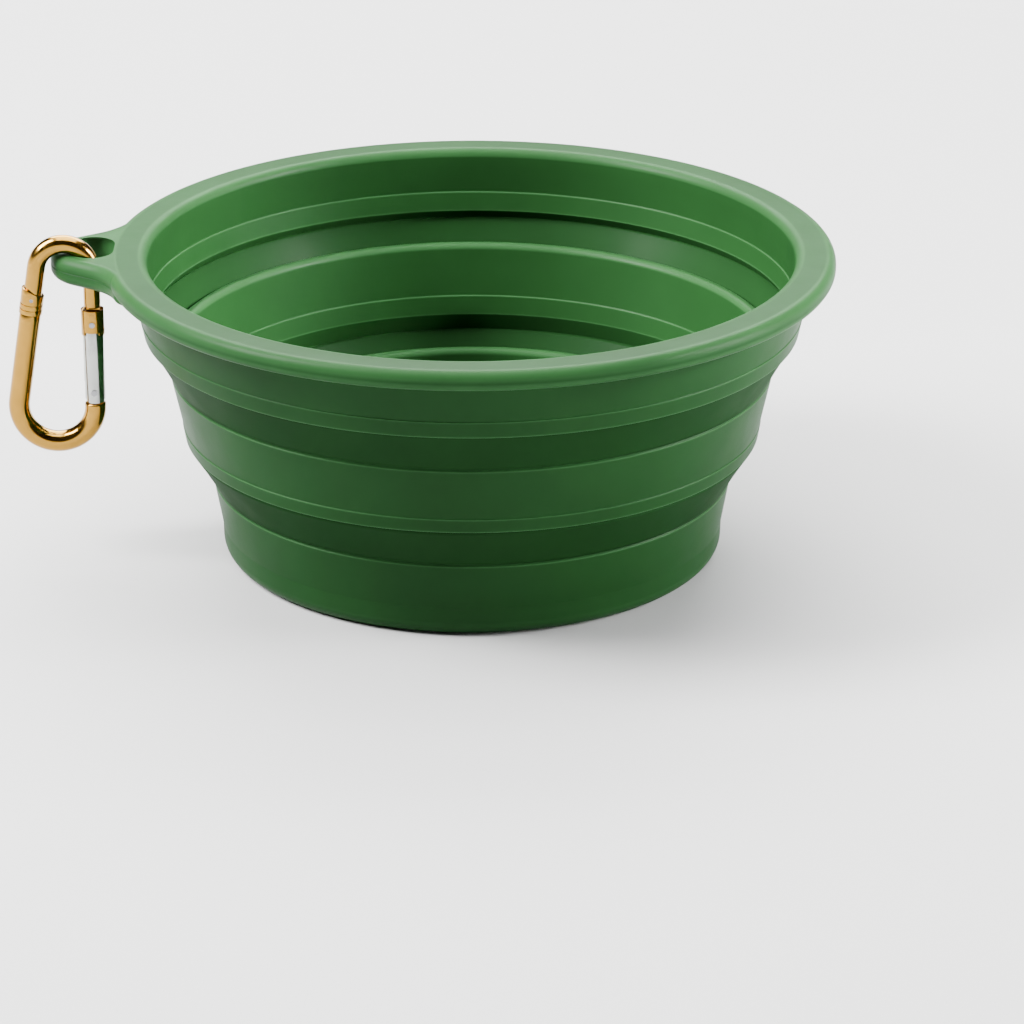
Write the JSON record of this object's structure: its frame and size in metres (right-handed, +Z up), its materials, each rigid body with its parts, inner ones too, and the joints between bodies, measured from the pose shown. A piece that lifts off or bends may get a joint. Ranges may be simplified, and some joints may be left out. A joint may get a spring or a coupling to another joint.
{
  "type": "collapsible pet bowl",
  "caption": "Collapsible silicone pet bowl with two fold rings, a rolled rim, a hang tab and a spring-gate clip hung through the tab.",
  "frame": {"origin": "middle of the foot ring's rest face, on the bowl's axis", "axes": "+Z up along the bowl's axis, -X out along the hang tab, Y across the tab"},
  "size_m": [0.203, 0.178, 0.0818],
  "materials": {
    "silicone": "satin moulded silicone",
    "fold_silicone": "satin moulded silicone, thin and in shade",
    "gold_anodised": "polished, gold anodised",
    "polished_silver": "polished",
    "steel": "plain steel"
  },
  "bodies": {
    "root": {"base_cup": "silicone", "base_floor": "silicone", "lower_fold_skin": "fold_silicone"},
    "middle": {"middle_band": "silicone", "upper_fold_skin": "fold_silicone"},
    "rim": {"rim_band": "silicone"},
    "clip": {"hook_arm": "gold_anodised", "spine_collar": "gold_anodised", "collar_pin": "steel", "spine_rod": "gold_anodised"},
    "gate": {"gate_tube": "polished_silver", "gate_cap": "gold_anodised", "latch_pin": "steel", "hinge_rivet": "steel", "gate_spring": "steel"},
    "plunger": {"gate_plunger": "steel"}
  },
  "joints": [
    {"name": "lower_fold", "type": "slide", "parent": "root", "child": "middle", "axis": [0, 0, -1], "range_m": [0, 0.028], "deforming": ["lower_fold_skin"]},
    {"name": "upper_fold", "type": "slide", "parent": "middle", "child": "rim", "axis": [0, 0, -1], "range_m": [0, 0.028], "deforming": ["upper_fold_skin"]},
    {"name": "clip_swing", "type": "hinge", "parent": "rim", "child": "clip", "pos_m": [-0.0993, -0.005, 0.07285], "axis": [0, 1, 0], "range_deg": [-12, 79]},
    {"name": "gate_hinge", "type": "hinge", "parent": "clip", "child": "gate", "pos_m": [-0.0926, -0.005, 0.04175], "axis": [0, -1, 0], "range_deg": [0, 25], "stiffness_Nm_per_rad": 0.02, "springref_deg": -17.19},
    {"name": "plunger_slide", "type": "slide", "parent": "gate", "child": "plunger", "axis": [0, 0, 1], "range_m": [0, 0.0008], "deforming": ["gate_spring"]}
  ],
  "couplings": [
    {"joint": "plunger_slide", "follows": "gate_hinge", "m_per_rad": 0.0016}
  ]
}
